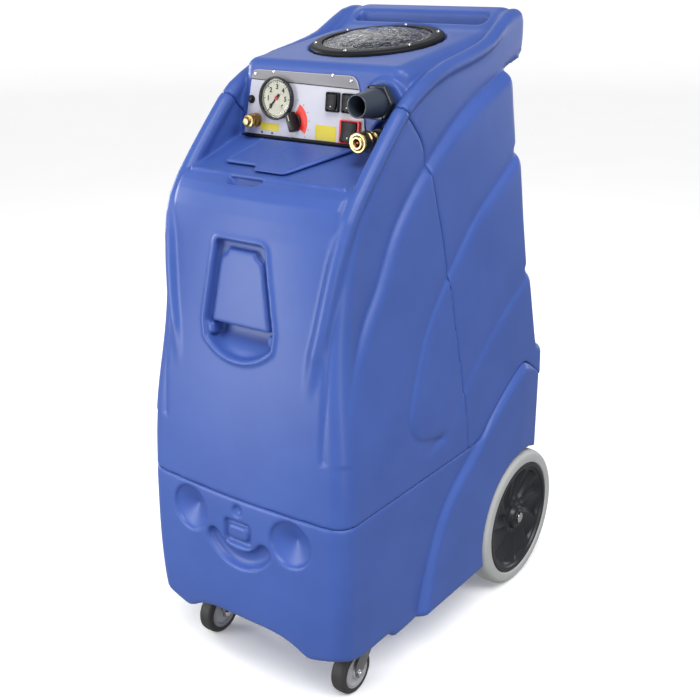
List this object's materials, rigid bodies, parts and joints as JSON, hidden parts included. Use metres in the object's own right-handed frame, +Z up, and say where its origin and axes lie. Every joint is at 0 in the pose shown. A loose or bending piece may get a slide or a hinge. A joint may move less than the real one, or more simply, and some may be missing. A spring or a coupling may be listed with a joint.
{
  "type": "portable carpet extractor",
  "caption": "Portable box carpet extractor: moulded base with wheels and casters, solution and recovery tanks, lids, gauge, switches, dial, hose port and quick coupler.",
  "frame": {"origin": "on the floor, at the middle of the box that bounds the machine", "axes": "+Z up, -Y out of the front of the machine where the pocket and controls are, +X to the right of someone behind it"},
  "size_m": [0.407, 0.667, 1.018],
  "materials": {
    "blue_shell": "moulded polyethylene, satin with fine grain",
    "white_panel": "smooth printed plate",
    "black_plastic": "satin",
    "red_plastic": "gloss",
    "grey_cuff": "moulded, satin",
    "gauge_black": "gloss",
    "clear_plastic": "clear",
    "brass": "turned and polished",
    "zinc_steel": "zinc plated",
    "grey_tyre": "non-marking grey",
    "black_rubber": "matte",
    "motor_metal": "cast and machined"
  },
  "bodies": {
    "base": {"base_housing": "blue_shell", "rear_axle": "zinc_steel", "axle_cap_left": "zinc_steel", "axle_cap_right": "zinc_steel", "caster_plate_left": "zinc_steel", "caster_plate_right": "zinc_steel", "vacuum_motor_left": "motor_metal", "vacuum_motor_right": "motor_metal", "pump_motor": "motor_metal", "pump_head": "motor_metal", "heat_exchanger": "motor_metal", "electrical_box": "black_plastic", "cord_gland_left": "black_plastic", "cord_gland_right": "black_plastic", "hinge_leaf_base": "zinc_steel", "hinge_pin": "zinc_steel"},
    "tanks": {"front_tank": "blue_shell", "rear_tank": "blue_shell", "control_plate": "white_panel", "gauge_case": "gauge_black", "gauge_lens": "clear_plastic", "pump_switch_bezel": "black_plastic", "vacuum_switch_bezel": "black_plastic", "heater_switch_bezel": "red_plastic", "vacuum_port_flange": "grey_cuff", "vacuum_cuff": "grey_cuff", "coupler_adapter": "black_plastic", "coupler_body": "brass", "inlet_fitting": "brass", "deck_ring": "black_plastic", "float_shutoff": "white_panel", "vacuum_standpipe": "white_panel", "solution_filter": "motor_metal", "drain_valve_body": "black_plastic", "hinge_leaf_tank": "zinc_steel"},
    "solution_lid": {"solution_lid": "blue_shell"},
    "recovery_lid": {"lid_dome": "clear_plastic", "lid_gasket": "black_rubber"},
    "pump_switch": {"pump_switch": "black_plastic"},
    "vacuum_switch": {"vacuum_switch": "black_plastic"},
    "heater_switch": {"heater_switch": "black_plastic"},
    "dial": {"dial_knob": "black_plastic"},
    "gauge_needle": {"gauge_needle": "red_plastic"},
    "coupler_sleeve": {"coupler_sleeve": "brass"},
    "drain_lever": {"drain_lever": "red_plastic"},
    "reset_button": {"reset_button": "black_plastic"},
    "wheel_left": {"tyre_left": "grey_tyre", "hub_left": "black_plastic"},
    "wheel_right": {"tyre_right": "grey_tyre", "hub_right": "black_plastic"},
    "caster_left": {"caster_fork_left": "zinc_steel", "caster_bolt_left": "zinc_steel"},
    "caster_right": {"caster_fork_right": "zinc_steel", "caster_bolt_right": "zinc_steel"},
    "caster_wheel_left": {"caster_tyre_left": "black_rubber", "caster_core_left": "motor_metal"},
    "caster_wheel_right": {"caster_tyre_right": "black_rubber", "caster_core_right": "motor_metal"}
  },
  "joints": [
    {"name": "wheel_left_spin", "type": "hinge", "parent": "base", "child": "wheel_left", "pos_m": [-0.18, 0.2065, 0.127], "axis": [1, 0, 0], "continuous": true},
    {"name": "caster_left_swivel", "type": "hinge", "parent": "base", "child": "caster_left", "pos_m": [-0.1404, -0.2148, 0.08], "axis": [0, 0, 1], "continuous": true},
    {"name": "caster_left_roll", "type": "hinge", "parent": "caster_left", "child": "caster_wheel_left", "pos_m": [-0.1404, -0.2368, 0.038], "axis": [1, 0, 0], "continuous": true},
    {"name": "wheel_right_spin", "type": "hinge", "parent": "base", "child": "wheel_right", "pos_m": [0.18, 0.2065, 0.127], "axis": [1, 0, 0], "continuous": true},
    {"name": "caster_right_swivel", "type": "hinge", "parent": "base", "child": "caster_right", "pos_m": [0.1404, -0.2148, 0.08], "axis": [0, 0, 1], "continuous": true},
    {"name": "caster_right_roll", "type": "hinge", "parent": "caster_right", "child": "caster_wheel_right", "pos_m": [0.1404, -0.2368, 0.038], "axis": [1, 0, 0], "continuous": true},
    {"name": "tank_tilt", "type": "hinge", "parent": "base", "child": "tanks", "pos_m": [0, 0.2965, 0.378], "axis": [-1, 0, 0], "range_deg": [0, 65]},
    {"name": "solution_lid_hinge", "type": "hinge", "parent": "tanks", "child": "solution_lid", "pos_m": [0, -0.1345, 0.844], "axis": [-1, 0, 0], "range_deg": [0, 60]},
    {"name": "recovery_lid_lift", "type": "slide", "parent": "tanks", "child": "recovery_lid", "axis": [0, -0.1444, 0.9895], "range_m": [0, 0.08]},
    {"name": "pump_switch_rock", "type": "hinge", "parent": "tanks", "child": "pump_switch", "pos_m": [0.03, -0.12391, 0.89719], "axis": [1, 0, 0], "range_deg": [0, 16]},
    {"name": "vacuum_switch_rock", "type": "hinge", "parent": "tanks", "child": "vacuum_switch", "pos_m": [0.059, -0.12391, 0.89719], "axis": [1, 0, 0], "range_deg": [0, 16]},
    {"name": "heater_switch_rock", "type": "hinge", "parent": "tanks", "child": "heater_switch", "pos_m": [0.063, -0.12812, 0.85719], "axis": [1, 0, 0], "range_deg": [0, 16]},
    {"name": "dial_turn", "type": "hinge", "parent": "tanks", "child": "dial", "pos_m": [-0.04, -0.12386, 0.86331], "axis": [0, 0.9945, -0.1045], "range_deg": [-45, 45]},
    {"name": "gauge_needle_turn", "type": "hinge", "parent": "tanks", "child": "gauge_needle", "pos_m": [-0.073, -0.13193, 0.89652], "axis": [0, 0.9945, -0.1045], "range_deg": [0, 265], "stiffness_Nm_per_rad": 0.002},
    {"name": "coupler_sleeve_slide", "type": "slide", "parent": "tanks", "child": "coupler_sleeve", "axis": [0, 1, 0], "range_m": [0, 0.004], "stiffness_N_per_m": 800},
    {"name": "reset_button_press", "type": "slide", "parent": "tanks", "child": "reset_button", "axis": [0, 0.9945, -0.1045], "range_m": [0, 0.0018], "stiffness_N_per_m": 500},
    {"name": "drain_lever_turn", "type": "hinge", "parent": "tanks", "child": "drain_lever", "pos_m": [-0.11, 0.274, 0.5063], "axis": [0, 0, 1], "range_deg": [0, 90]}
  ]
}
